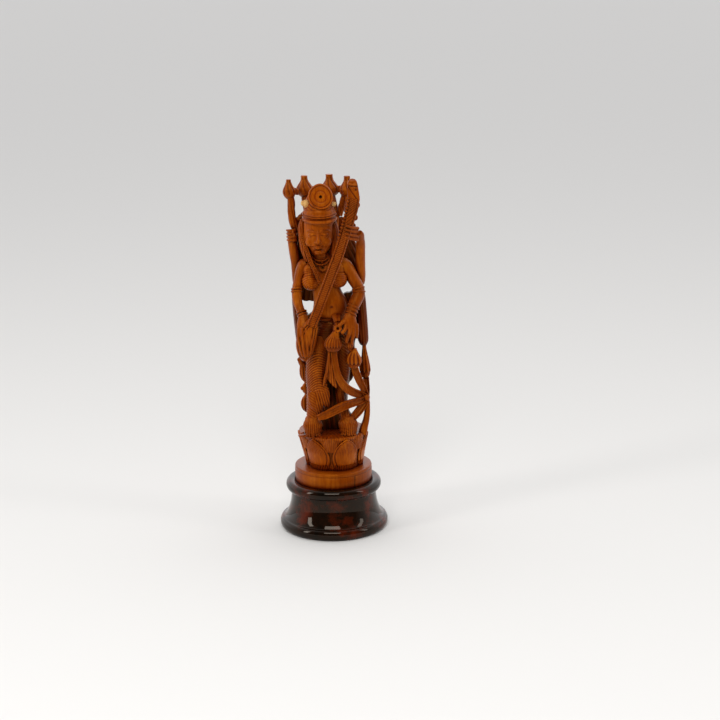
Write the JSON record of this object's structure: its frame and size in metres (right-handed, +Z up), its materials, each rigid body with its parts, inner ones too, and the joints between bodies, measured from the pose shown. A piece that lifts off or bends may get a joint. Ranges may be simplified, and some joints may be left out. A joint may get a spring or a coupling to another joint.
{
  "type": "carved statuette of a sitar player",
  "caption": "Carved wooden statuette: a four-armed figure playing a sitar on a lotus, on a round turned and lacquered plinth.",
  "frame": {"origin": "centre of the plinth's underside, on the surface it stands on", "axes": "+Z up the figure; the figure faces -Y; +X is to the right of someone facing it"},
  "size_m": [0.093, 0.093, 0.3013],
  "materials": {
    "carved_wood": "satin, waxed, darker in the recesses",
    "disc_wood": "satin, waxed, turned smooth",
    "plinth_lacquer": "dark red-brown lacquer over wood, high gloss",
    "screw_steel": "plain"
  },
  "bodies": {
    "root": {"apron": "carved_wood", "back_shawl": "carved_wood", "base_disc": "disc_wood", "bracelets": "carved_wood", "centre_ribbon": "carved_wood", "centre_tassel": "carved_wood", "crown_band": "carved_wood", "crown_dome": "carved_wood", "crown_knobs": "carved_wood", "crown_rosette": "carved_wood", "ears": "carved_wood", "edge_ribbon_end": "carved_wood", "edge_ribbon_top": "carved_wood", "fixing_screw": "screw_steel", "front_left_arm": "carved_wood", "front_left_hand": "carved_wood", "front_right_arm": "carved_wood", "front_right_hand": "carved_wood", "front_tassel": "carved_wood", "hair_bun": "carved_wood", "hair_lock": "carved_wood", "head": "carved_wood", "hips": "carved_wood", "left_garland": "carved_wood", "left_hem": "carved_wood", "left_leg": "carved_wood", "left_shawl": "carved_wood", "link_ribbon": "carved_wood", "lotus_buds": "carved_wood", "lotus_core": "carved_wood", "lotus_inner_petals": "carved_wood", "lotus_petals": "carved_wood", "lotus_stems": "carved_wood", "neck": "carved_wood", "necklace": "carved_wood", "pendant": "carved_wood", "plinth": "plinth_lacquer", "rear_left_arm": "carved_wood", "rear_left_hand": "carved_wood", "rear_right_arm": "carved_wood", "rear_right_hand": "carved_wood", "rear_tassel": "carved_wood", "ribbon_knot": "carved_wood", "right_hem": "carved_wood", "right_leg": "carved_wood", "right_shawl": "carved_wood", "sitar_body": "carved_wood", "sitar_frets": "carved_wood", "sitar_head": "carved_wood", "sitar_neck": "carved_wood", "sitar_pegs": "carved_wood", "skirt_back": "carved_wood", "small_tassel": "carved_wood", "sweep_ribbon": "carved_wood", "tassel_ribbon": "carved_wood", "torso": "carved_wood", "waist_knot": "carved_wood"}
  },
  "joints": []
}
